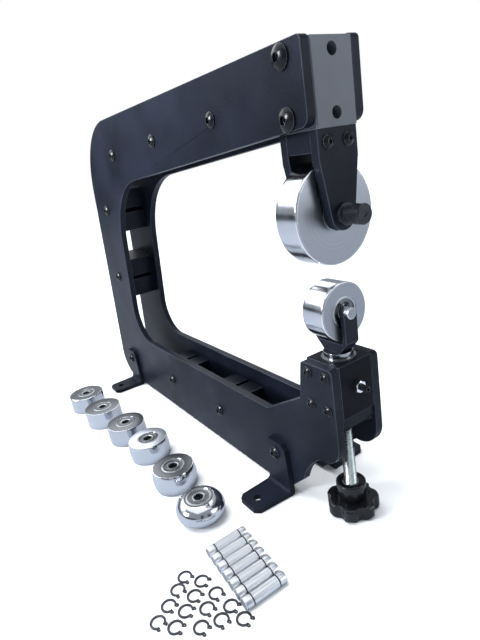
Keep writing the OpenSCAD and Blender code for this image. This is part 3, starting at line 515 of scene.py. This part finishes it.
BLACK_DARK, BLACK_LIGHT = (0.0030, 0.0040, 0.0082), (0.0105, 0.0132, 0.0232)
COAT = powder_coat("black powder coat", BLACK_DARK, BLACK_LIGHT, 0.42)
# Lighter coat for the eased edges: a painted edge highlight, partly edge wear.
COAT_EDGE_WEAR_AND_HIGHLIGHT = powder_coat("powder coat edge wear and painted highlight", (0.026, 0.031, 0.044), (0.044, 0.051, 0.068), 0.34, bump=0.2)
# A darker coat for the guide block: painted shade, and a blacker finish.
GUIDE_COAT_SHADE_AND_BLACKER = powder_coat("guide block coat blacker and painted shade", (0.0014, 0.0018, 0.0034), (0.0050, 0.0062, 0.0108), 0.46,
                         specular=0.07)
# The nose block's coat is lighter than the other coat as painted front light; its edge coat is a painted
# highlight.
NOSE_COAT_PAINTED_LIGHT = powder_coat("nose block coat lightened as painted light", (0.050, 0.059, 0.077), (0.074, 0.085, 0.107), 0.36,
                        1900.0, 0.2, 0.4)
NOSE_EDGE_PAINTED_HIGHLIGHT = powder_coat("nose block edge painted highlight", (0.10, 0.11, 0.125), (0.14, 0.15, 0.17), 0.32, 1900.0, 0.2)
OXIDE = oiled_black("black oxide", (0.003, 0.0033, 0.0045), (0.006, 0.0065, 0.008), 0.22, 0.22)
OXIDE_EDGE = oiled_black("black oxide edge", (0.060, 0.066, 0.078), (0.10, 0.105, 0.12), 0.2)
AXLE_BLACK = oiled_black("oiled black axle", (0.007, 0.0075, 0.010), (0.013, 0.014, 0.018), 0.2)
CHROME = bare_metal("polished chrome", (0.80, 0.82, 0.86), (0.86, 0.875, 0.90), 0.045, 0.05,
                    lines=300.0, bump=0.02)
BARREL = bare_metal("polished rolling face", (0.50, 0.52, 0.56), (0.66, 0.68, 0.72), 0.13, 0.09,
                    lines=60.0, bump=0.05)
CHROME_EDGE = bare_metal("chrome edge", (0.9, 0.91, 0.93), (0.95, 0.955, 0.97), 0.12, 0.05)
RING_STEEL = bare_metal("bearing ring steel", (0.34, 0.36, 0.38), (0.46, 0.48, 0.50), 0.26, 0.08)
BUSH_STEEL = bare_metal("satin bush steel", (0.20, 0.205, 0.22), (0.30, 0.305, 0.32), 0.26, 0.06,
                        (1, 1, 0.05), 700.0, 0.05)
SHIELD_STEEL = bare_metal("bearing shield", (0.13, 0.135, 0.15), (0.20, 0.205, 0.22), 0.3, 0.1)
ZINC = bare_metal("zinc plate", (0.66, 0.72, 0.72), (0.80, 0.85, 0.84), 0.26, 0.08, bump=0.05)
# Thread roots get a much darker zinc: painted shade in the recess between the crests.
ZINC_ROOT_SHADE = bare_metal("zinc plate darkened as painted shade in the thread's root", (0.12, 0.14, 0.145), (0.18, 0.20, 0.205),
                       0.4, 0.1)
PIN_STEEL = bare_metal("ground pin steel", (0.74, 0.76, 0.79), (0.82, 0.84, 0.87), 0.3, 0.05, (1, 0.03, 1),
                       120.0, 0.0)
POST_STEEL = bare_metal("hard chromed post", (0.30, 0.315, 0.34), (0.44, 0.455, 0.48), 0.1, 0.08,
                        (1, 1, 0.05), 400.0, 0.04)
PIN_END = bare_metal("cut pin end", (0.26, 0.275, 0.30), (0.36, 0.375, 0.40), 0.3, 0.08)
# Dark colour in the pins' clip grooves: painted shade in the recess.
PIN_GROOVE_SHADE = bare_metal("clip groove", (0.05, 0.053, 0.06), (0.08, 0.084, 0.09), 0.4, 0.08)
CLIP_STEEL = bare_metal("phosphated spring steel", (0.055, 0.058, 0.066), (0.095, 0.099, 0.11), 0.38, 0.1)
PLASTIC = oiled_black("moulded black plastic", (0.0045, 0.005, 0.0065), (0.007, 0.0075, 0.0095), 0.14, 0.35)


def with_materials(obj, *materials):
    obj.data.materials.clear()
    for m in materials:
        obj.data.materials.append(m)
    return obj


# The camera

def make_camera():
    """The camera that was fitted to the photograph's straight edges and round wheels."""
    data = bpy.data.cameras.new("photo camera")
    data.sensor_fit = "HORIZONTAL"
    data.sensor_width = 36.0
    data.lens = 36.97
    data.clip_start = 0.02
    data.clip_end = 30.0
    camera = bpy.data.objects.new("photo camera", data)
    right = Vector((0.5518, 0.8200, -0.1519))
    up = Vector((-0.1852, 0.2981, 0.9364))
    back = Vector((0.8132, -0.4886, 0.3163))
    place = Vector((0.5621, -0.2693, 0.3373))
    camera.matrix_world = Matrix((
        (right.x, up.x, back.x, place.x),
        (right.y, up.y, back.y, place.y),
        (right.z, up.z, back.z, place.z),
        (0, 0, 0, 1)))
    bpy.context.scene.collection.objects.link(camera)
    bpy.context.scene.camera = camera
    return camera


make_camera()


# Pieces that copy a CAD node, edges eased

COATED = {
    "near_side_plate": 0.5, "far_side_plate": 0.5, "upper_arm_spacers": 0.6, "column_spacers": 0.6,
    "lower_arm_spacers": 0.6, "guide_block": 0.4, "nut_plate": 0.4, "front_near_foot": 0.22,
    "front_far_foot": 0.22, "rear_near_foot": 0.22, "rear_far_foot": 0.22, "fork_crown": 0.4,
    "front_fork_ear": 0.5, "rear_fork_ear": 0.5, "anvil_yoke": 0.4,
}
# Their short edges at bends and sunk holes would otherwise fold over
CLAMPED = ("front_near_foot", "front_far_foot", "rear_near_foot", "rear_far_foot", "nut_plate")
for node, width in COATED.items():
    # The guide block gets the darker coat: painted shade, and a blacker finish.
    coat = GUIDE_COAT_SHADE_AND_BLACKER if node == "guide_block" else COAT
    # Eased edges take the lighter edge coat in slot 1: a painted highlight, partly wear.
    piece = with_materials(copied(node, node + "_coated"), coat, COAT_EDGE_WEAR_AND_HIGHLIGHT)
    ease_edges(piece, width * MM, 2, 32.0, 1, node in CLAMPED)
    rides_for(piece, node)

# Nose block in its lightened coat: painted front light, with painted highlights on the eased edges.
piece = with_materials(copied("nose_block", "nose_block_painted_light"), NOSE_COAT_PAINTED_LIGHT, NOSE_EDGE_PAINTED_HIGHLIGHT)
ease_edges(piece, 0.3 * MM, 2, 32.0, 1)
rides_for(piece, "nose_block")

for node in ("near_plate_screws", "far_plate_screws", "nose_cross_bolts", "near_tower_screws",
             "far_tower_screws", "foot_screws", "fork_ear_screws", "crown_screws", "yoke_screw",
             "nut_plate_screws"):
    piece = with_materials(copied(node, node + "_headed"), OXIDE, OXIDE_EDGE)
    ease_edges(piece, 0.16 * MM, 2, 40.0, 1)
    rides_for(piece, node)

for node, width, material in (("star_knob", 0.35, PLASTIC), ("spare_clips", 0.14, CLIP_STEEL),
                              ("anvil_pin_clips", 0.14, CLIP_STEEL),
                              ("upper_axle_clip", 0.14, CLIP_STEEL),
                              ("anvil_post", 0.3, POST_STEEL), ("knob_insert", 0.3, RING_STEEL)):
    piece = with_materials(copied(node, node + "_eased"), material)
    ease_edges(piece, width * MM, 2, 32.0)
    rides_for(piece, node)

bush = with_materials(copied("post_bush", "post_bush_eased"), BUSH_STEEL)
ease_edges(bush, 0.12 * MM, 2, 32.0)
rides_for(bush, "post_bush")

with_materials(NODES["upper_axle_shims"], RING_STEEL)


# Wheels and anvils

WHEEL_R, ANVIL_R = half_size("upper_wheel").z, half_size("mounted_anvil").z
HALF_W = half_size("upper_wheel").x
SEAT_R, SEAT_FLOOR, BORE_R = 13.05 * MM, 4 * MM, 11 * MM
GROOVE_IN = 1.6 * MM
# Radius of each spare anvil's crown, from flat to full round
CROWNS = (0, 240, 90, 56, 34, 12.4)
SPARES = [("spare_anvil_%d" % number, crown) for number, crown in enumerate(CROWNS, 1)]


def flat_rim(radius):
    """Upper half of a flat rolling face: chamfered corner, a fine groove near the edge of the side face."""
    groove = radius - GROOVE_IN
    return [(groove - 0.22 * MM, HALF_W), (groove - 0.14 * MM, HALF_W - 0.16 * MM),
            (groove + 0.14 * MM, HALF_W - 0.16 * MM), (groove + 0.22 * MM, HALF_W),
            (radius - 0.75 * MM, HALF_W), (radius - 0.62 * MM, HALF_W - 0.04 * MM),
            (radius - 0.04 * MM, HALF_W - 0.62 * MM), (radius, HALF_W - 0.75 * MM),
            (radius, HALF_W - 3 * MM)]


def crowned_rim(crown, steps=14):
    """Upper half of a crowned rolling face, from its edge to the middle plane."""
    places = [HALF_W * (1 - i / steps) for i in range(steps)]
    reach = [ANVIL_R - crown + math.sqrt(crown * crown - z * z) for z in places]
    corner = [(reach[0] - 0.3 * MM, HALF_W), (reach[0] - 0.06 * MM, HALF_W - 0.06 * MM)]
    return corner + [(r, z) for r, z in list(zip(reach, places))[1:]]


def wheel_rings(rim):
    """The whole profile of a wheel: from the bore's middle out to the rim and back."""
    half = [(BORE_R, SEAT_FLOOR), (SEAT_R, SEAT_FLOOR), (SEAT_R, HALF_W - 0.35 * MM),
            (SEAT_R + 0.3 * MM, HALF_W)] + rim
    return mirrored(half)


def wheel_piece(node, rim, centre, turn, across, segments, tone):
    """A wheel with a polished rolling face, satin side faces and bright corners."""
    low = tuple(tone * c for c in FACE_TINT)
    high = tuple(1.22 * c for c in low)
    face = turned_face(node + " side face", low, high, 0.3, centre, across)
    piece = turned_ring(node + "_turned", wheel_rings(rim), segments)

    def slot_of(middle, normal):
        along = abs(normal.z)
        if along > 0.98 and abs(middle.z) > HALF_W - 0.3 * MM:
            return 1
        if along > 0.3 and abs(middle.z) > HALF_W - 0.8 * MM and middle.xy.length > SEAT_R:
            return 2
        return 0

    with_materials(piece, BARREL, face, CHROME_EDGE)
    paint(piece, slot_of)
    settle(piece, centre, turn)
    smooth(piece)
    return rides_for(piece, node)


ACROSS_X, ACROSS_Z = (0, 1, 1), (1, 1, 0)
FACE_TINT = (0.92, 0.96, 1.04)
# One turned steel in three lightnesses: the spare anvils' side faces darkened as painted shade,
# spare_anvil_4's lightened as painted light.
MOUNTED_TONE, SPARE_SHADED_TONE, SPARE_LIT_TONE = 0.30, 0.15, 0.8
wheel_piece("upper_wheel", flat_rim(WHEEL_R), UPPER_AXIS, ALONG_X, ACROSS_X, 160, MOUNTED_TONE)
wheel_piece("mounted_anvil", flat_rim(ANVIL_R), ANVIL_AXIS, ALONG_X, ACROSS_X, 128, MOUNTED_TONE)
for node, crown in SPARES:
    rim = crowned_rim(crown * MM) if crown else flat_rim(ANVIL_R)
    wheel_piece(node, rim, middle(node), (0, 0, 0), ACROSS_Z, 128,
                SPARE_LIT_TONE if node == "spare_anvil_4" else SPARE_SHADED_TONE)


# Bearings

BEARING_R, BEARING_BORE_R, BEARING_HALF = 13 * MM, 5.05 * MM, 4 * MM


def bearing_at(name, place, turn):
    """A shielded bearing: outer ring, inner ring, and a pressed shield sunk into each side."""
    half, reach, bore = BEARING_HALF, BEARING_R, BEARING_BORE_R
    outer = mirrored([(reach - 1.9 * MM, half - 0.15 * MM), (reach - 1.75 * MM, half),
                      (reach - 0.3 * MM, half), (reach - 0.1 * MM, half - 0.1 * MM),
                      (reach, half - 0.3 * MM)])
    inner = mirrored([(bore, half - 0.25 * MM), (bore + 0.1 * MM, half - 0.08 * MM),
                      (bore + 0.3 * MM, half), (bore + 1.75 * MM, half),
                      (bore + 1.9 * MM, half - 0.15 * MM)])
    shield = mirrored([(7.12 * MM, half - 0.9 * MM), (7.16 * MM, half - 0.55 * MM),
                       (7.4 * MM, half - 0.42 * MM), (7.8 * MM, half - 0.5 * MM),
                       (10.1 * MM, half - 0.5 * MM),
                       (10.5 * MM, half - 0.38 * MM), (10.9 * MM, half - 0.46 * MM),
                       (11.08 * MM, half - 0.7 * MM)])
    rings = [turned_ring(name + "_outer", outer, 72), turned_ring(name + "_inner", inner, 72),
             turned_ring(name + "_shield", shield, 72)]
    for ring, material in zip(rings, (RING_STEEL, RING_STEEL, SHIELD_STEEL)):
        with_materials(ring, material)
    whole = joined(name, rings)
    settle(whole, place, turn)
    return smooth(whole, 28)


def bearing_pair(name, centre, axis, turn):
    """Two bearings in one wheel, each flush with a side face."""
    offset = (HALF_W - BEARING_HALF) * axis
    return [bearing_at("%s_%d" % (name, side), centre + side * offset, turn) for side in (-1, 1)]


EX, EZ = Vector((1, 0, 0)), Vector((0, 0, 1))
for node, centre in (("upper_wheel_bearings", UPPER_AXIS), ("mounted_anvil_bearings", ANVIL_AXIS)):
    rides_for(joined(node + "_turned", bearing_pair(node, centre, EX, ALONG_X)), node)
spare_bearings = []
for node, _ in SPARES:
    spare_bearings += bearing_pair("spare_bearing", middle(node), EZ, (0, 0, 0))
rides_for(joined("spare_anvil_bearings_turned", spare_bearings), "spare_anvil_bearings")


# Pins and the upper axle

PIN_R, PIN_HALF = half_size("anvil_pin").z, half_size("anvil_pin").x
GROOVE_R, PIN_COUNT = 4.7 * MM, 7
GROOVE_NEAR, GROOVE_FAR = 12.5 * MM, 13.5 * MM


def pin_at(name, place, turn):
    rings = [(PIN_R - 0.75 * MM, PIN_HALF), (PIN_R - 0.08 * MM, PIN_HALF - 0.5 * MM),
             (PIN_R, PIN_HALF - 0.75 * MM), (PIN_R, GROOVE_FAR + 0.1 * MM),
             (PIN_R - 0.08 * MM, GROOVE_FAR), (GROOVE_R, GROOVE_FAR), (GROOVE_R, GROOVE_NEAR),
             (PIN_R - 0.08 * MM, GROOVE_NEAR), (PIN_R, GROOVE_NEAR - 0.1 * MM)]
    pin = turned_solid(name, mirrored(rings), 64)
    with_materials(pin, PIN_STEEL, PIN_END, PIN_GROOVE_SHADE)

    def slot_of(middle, normal):
        if abs(normal.z) > 0.9 and abs(middle.z) > PIN_HALF - 0.1 * MM:
            return 1
        # Groove faces take slot 2, the painted groove shade.
        return 2 if GROOVE_NEAR - 0.1 * MM < abs(middle.z) < GROOVE_FAR + 0.1 * MM else 0

    paint(pin, slot_of)
    settle(pin, place, turn)
    return smooth(pin)


rides_for(pin_at("anvil_pin_turned", ANVIL_AXIS, ALONG_X), "anvil_pin")
pins_low, pins_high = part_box("spare_pins")
first_pin = Vector((pins_low.x + PIN_R, pins_high.y - PIN_HALF, PIN_R))
last_pin = Vector((pins_high.x - PIN_R, pins_low.y + PIN_HALF, PIN_R))
spare_pins = [pin_at("spare_pin_%d" % i, first_pin.lerp(last_pin, i / (PIN_COUNT - 1)), ALONG_Y)
              for i in range(PIN_COUNT)]
rides_for(joined("spare_pins_turned", spare_pins), "spare_pins")

# Radius and place along the axle: rear end with its clip's groove, shaft, collar, waist and head
AXLE_RINGS = [(4.2, -24.5), (5.0, -23.7), (5.0, -21.4), (4.7, -21.3), (4.7, -20.3), (5.0, -20.2),
              (5.0, 21.0), (8.0, 21.0), (8.5, 21.5), (8.5, 24.5), (8.0, 25.0), (6.6, 25.0), (6.25, 25.3),
              (6.25, 32.7), (6.6, 33.0), (7.25, 33.0), (7.75, 33.5), (7.75, 41.2), (7.0, 42.0),
              (2.2, 42.0), (1.2, 41.2)]
axle = turned_solid("upper_axle_turned", [(r * MM, z * MM) for r, z in AXLE_RINGS], 96)
with_materials(axle, AXLE_BLACK)
smooth(settle(axle, UPPER_AXIS, ALONG_X))
rides_for(axle, "upper_axle")


# Threads

ROD_LOW, ROD_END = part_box("adjuster_rod")[0].z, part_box("adjuster_rod")[1].z
ROD_SHOULDER = ROD_END - 12.1 * MM
ROD_R, ROD_CORE_R, ROD_PITCH = half_size("adjuster_rod").x, 5.15 * MM, 1.75 * MM
SPIGOT_R = 4.95 * MM
core = turned_solid("rod_core", [(ROD_CORE_R - 0.6 * MM, ROD_LOW), (ROD_CORE_R, ROD_LOW + 0.8 * MM),
                                 (ROD_CORE_R, ROD_SHOULDER), (SPIGOT_R, ROD_SHOULDER),
                                 (SPIGOT_R, ROD_END)], 64)
ridge = thread_ridge("rod_ridge", ROD_CORE_R, ROD_R, ROD_PITCH, ROD_LOW + ROD_PITCH,
                     ROD_SHOULDER - ROD_PITCH)
# The core between the crests carries the darkened root zinc as painted shade.
with_materials(core, ZINC_ROOT_SHADE)
with_materials(ridge, ZINC)
rod = joined("adjuster_rod_threaded", [core, ridge])
smooth(settle(rod, (ANVIL_AXIS.x, 0, 0)), 35)
rides_for(rod, "adjuster_rod")

CLAMP_Z = middle("clamp_screw").z
CLAMP_LOW, CLAMP_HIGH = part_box("clamp_screw")[0].x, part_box("clamp_screw")[1].x
CLAMP_R, CLAMP_CORE_R, CLAMP_PITCH = 3 * MM, 2.62 * MM, 1 * MM
set_screw = copied("clamp_screw", "clamp_screw_threaded")
edit(set_screw)
shrink = (CLAMP_CORE_R - 0.02 * MM) / CLAMP_R
bpy.ops.transform.resize(value=(1, shrink, shrink), center_override=(0, 0, CLAMP_Z))
done()
ease_edges(set_screw, 0.12 * MM, 2, 40.0)
ridge = thread_ridge("clamp_ridge", CLAMP_CORE_R - 0.03 * MM, CLAMP_R, CLAMP_PITCH, CLAMP_PITCH,
                     CLAMP_HIGH - CLAMP_LOW - CLAMP_PITCH, 32)
smooth(settle(ridge, (CLAMP_LOW, 0, CLAMP_Z), ALONG_X), 35)
set_screw = with_materials(joined("clamp_screw_threaded", [set_screw, ridge]), OXIDE)
rides_for(set_screw, "clamp_screw")


# The clamp screw's nut: a hexagon whose corners are turned off on both faces

NUT_HALF, NUT_CORNER = half_size("clamp_nut").x, 5.78 * MM
NUT_FACE_R, NUT_CHAMFER = 4.7 * MM, 0.72 * MM
nut = copied("clamp_nut", "clamp_nut_chamfered")
cone = turned_solid("nut_cone", [(NUT_FACE_R, -NUT_HALF - 0.01 * MM),
                                 (NUT_CORNER + 0.1 * MM, -NUT_HALF + NUT_CHAMFER),
                                 (NUT_CORNER + 0.1 * MM, NUT_HALF - NUT_CHAMFER),
                                 (NUT_FACE_R, NUT_HALF + 0.01 * MM)], 96)
settle(cone, middle("clamp_nut"), ALONG_X)
cut = nut.modifiers.new("corners", "BOOLEAN")
cut.operation = "INTERSECT"
cut.object = cone
apply_all(nut)
bpy.data.objects.remove(cone)
with_materials(nut, CHROME)
ease_edges(nut, 0.08 * MM, 2, 26.0)
rides_for(nut, "clamp_nut")


# Studio

def make_floor():
    nothing_selected()
    bpy.ops.mesh.primitive_plane_add(size=12, location=(0, 0, -0.0002))
    floor = bpy.context.object
    floor.name = "studio_floor"
    f = Finish("studio floor")
    f.set(Roughness=0.75, Specular_IOR_Level=0.2)
    glow = f.add("ShaderNodeEmission")
    glow.inputs["Color"].default_value = (0.97, 0.98, 1.0, 1)
    glow.inputs["Strength"].default_value = 1.0
    path = f.add("ShaderNodeLightPath")
    # Glossy rays see the floor much greyer than the camera and lamps do: a painted darker floor reflection
    # in the metal and the coat.
    f.join(f.blend(path.outputs["Is Glossy Ray"], (0.95, 0.955, 0.96), (0.46, 0.49, 0.54)),
           f.shader.inputs["Base Color"])
    share = f.add("ShaderNodeMath", operation="MULTIPLY")
    f.join(path.outputs["Is Camera Ray"], share.inputs[0])
    share.inputs[1].default_value = 0.06
    mix = f.add("ShaderNodeMixShader")
    f.join(share.outputs[0], mix.inputs["Fac"])
    f.join(f.shader.outputs[0], mix.inputs[1])
    f.join(glow.outputs[0], mix.inputs[2])
    f.join(mix.outputs[0], f.tree.nodes["Material Output"].inputs["Surface"])
    floor.data.materials.append(f.material)
    return floor


def make_world():
    """White where the camera looks past the part; a dimmer, cooler room for light and reflections."""
    world = bpy.data.worlds.new("studio")
    bpy.context.scene.world = world
    world.use_nodes = True
    tree = world.node_tree
    room = tree.nodes["Background"]
    room.inputs["Color"].default_value = (0.84, 0.91, 1.0, 1)
    room.inputs["Strength"].default_value = 0.42
    seen = tree.nodes.new("ShaderNodeBackground")
    seen.inputs["Color"].default_value = (1, 1, 1, 1)
    seen.inputs["Strength"].default_value = 1.0
    path = tree.nodes.new("ShaderNodeLightPath")
    mix = tree.nodes.new("ShaderNodeMixShader")
    tree.links.new(path.outputs["Is Camera Ray"], mix.inputs["Fac"])
    tree.links.new(room.outputs[0], mix.inputs[1])
    tree.links.new(seen.outputs[0], mix.inputs[2])
    tree.links.new(mix.outputs[0], tree.nodes["World Output"].inputs["Surface"])


def area_light(name, place, target, width, height, power, colour=(1, 1, 1)):
    data = bpy.data.lights.new(name, "AREA")
    data.shape = "RECTANGLE"
    data.size = width
    data.size_y = height
    data.energy = power
    data.color = colour
    lamp = bpy.data.objects.new(name, data)
    lamp.location = place
    lamp.rotation_euler = (Vector(target) - Vector(place)).to_track_quat("-Z", "Y").to_euler()
    bpy.context.scene.collection.objects.link(lamp)
    return lamp


def overhead_light():
    """A wide, even light from above: it whitens the whole floor and leaves soft shadows under the part."""
    data = bpy.data.lights.new("overhead light", "SUN")
    data.energy = 3.4
    data.angle = math.radians(44)
    data.color = (0.96, 0.975, 1.0)
    lamp = bpy.data.objects.new("overhead light", data)
    lamp.visible_glossy = False
    lamp.rotation_euler = (math.radians(8), math.radians(-10), 0)
    bpy.context.scene.collection.objects.link(lamp)


def dark_card(name, place, target, width, height, colour):
    """A card outside the picture that puts a dark band into the chrome."""
    nothing_selected()
    bpy.ops.mesh.primitive_plane_add(size=1, location=(0, 0, 0))
    card = bpy.context.object
    card.name = name
    f = Finish(name)
    f.set(Roughness=0.9, Specular_IOR_Level=0.0)
    f.shader.inputs["Base Color"].default_value = (*colour, 1)
    card.data.materials.append(f.material)
    card.scale = (width, height, 1)
    card.rotation_euler = (Vector(target) - Vector(place)).to_track_quat("-Z", "Y").to_euler()
    card.location = place
    card.visible_camera = False
    card.visible_shadow = False
    card.visible_diffuse = False
    return card


CARD_BLACK = (0.02, 0.02, 0.03)
make_floor()
make_world()
dark_card("left horizon card", (0.4, -2.4, 0.28), (0.2, 0, 0.25), 3.0, 0.42, CARD_BLACK)
dark_card("rear horizon card", (-1.5, -1.25, 0.30), (0.26, 0, 0.28), 5.0, 0.34, CARD_BLACK)
dark_card("camera card", (1.9, -0.9, 0.6), (0.2, 0, 0.15), 0.36, 1.0, CARD_BLACK)
dark_card("front card", (2.4, 0.15, 0.42), (0.2, 0, 0.15), 0.6, 0.84, CARD_BLACK)
dark_card("far horizon card", (0.2, 2.4, 0.35), (0.2, 0, 0.25), 3.0, 0.5, (0.03, 0.03, 0.04))
overhead_light()
ceiling = area_light("ceiling softbox", (0.1, -0.1, 1.7), (0.1, -0.1, 0), 2.2, 2.2, 17.0,
                     (0.96, 0.98, 1.0))
ceiling.visible_diffuse = False
narrow = area_light("left softbox", (-0.3, -1.5, 1.0), (-0.04, 0, 0.45), 0.8, 0.8, 5.0,
                    (0.90, 0.95, 1.0))
narrow.data.spread = math.radians(34)
area_light("rear softbox", (-1.5, -0.25, 1.35), (0.26, 0, 0.28), 3.4, 0.9, 24.0, (0.97, 0.98, 1.0))
area_light("front softbox", (1.5, 0.9, 0.6), (0.2, 0, 0.2), 0.8, 0.8, 5.5, (0.93, 0.96, 1.0))

bpy.context.scene.view_settings.view_transform = "Standard"
